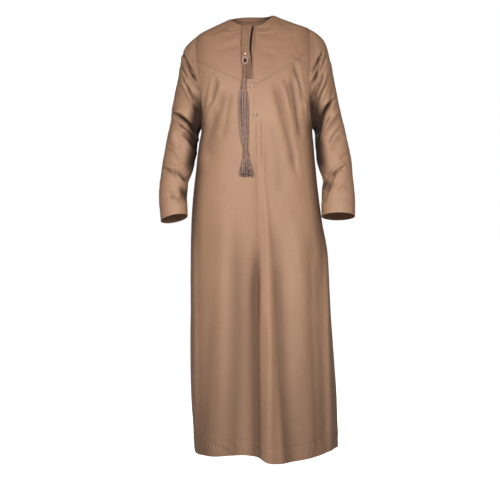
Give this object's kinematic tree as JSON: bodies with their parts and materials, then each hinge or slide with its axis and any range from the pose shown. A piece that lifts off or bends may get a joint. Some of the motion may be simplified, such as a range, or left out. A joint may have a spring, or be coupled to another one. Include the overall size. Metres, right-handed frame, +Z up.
{
  "type": "thobe",
  "caption": "Long collarless robe with set-in sleeves, a V-seamed chest yoke, a half placket and a hanging silk tassel.",
  "frame": {"origin": "the middle of the neck opening, level with the inner ends of the shoulder seams, where the wearer's shoulders carry the robe", "axes": "+Z up towards the neck, the front faces -Y, +X towards the right of a front view"},
  "size_m": [0.641, 0.3976, 1.4532],
  "materials": {
    "robe_cloth": "smooth fine twill with a soft lustre",
    "yoke_cloth": "the same twill, doubled over the chest",
    "trim_cloth": "pressed and stitched bands of the same twill",
    "button_cloth": "cloth-covered buttons",
    "bead": "pearly bead",
    "silk": "mauve brown silk thread with a low sheen"
  },
  "bodies": {
    "root": {"front_panel": "robe_cloth", "front_yoke": "yoke_cloth", "back_panel": "robe_cloth", "gore_left": "robe_cloth", "gore_right": "robe_cloth", "sleeve_left": "robe_cloth", "sleeve_right": "robe_cloth", "neckband": "trim_cloth", "placket_under": "trim_cloth", "placket_outer": "trim_cloth", "button_upper": "button_cloth", "button_lower": "button_cloth", "stud_bead": "bead", "loop_knot": "silk", "tassel_ring": "silk", "tassel_braid": "silk", "tassel_top_knot": "silk", "tassel_strands": "silk", "tassel_lower_knot": "silk", "tassel_fringe": "silk"}
  },
  "joints": []
}
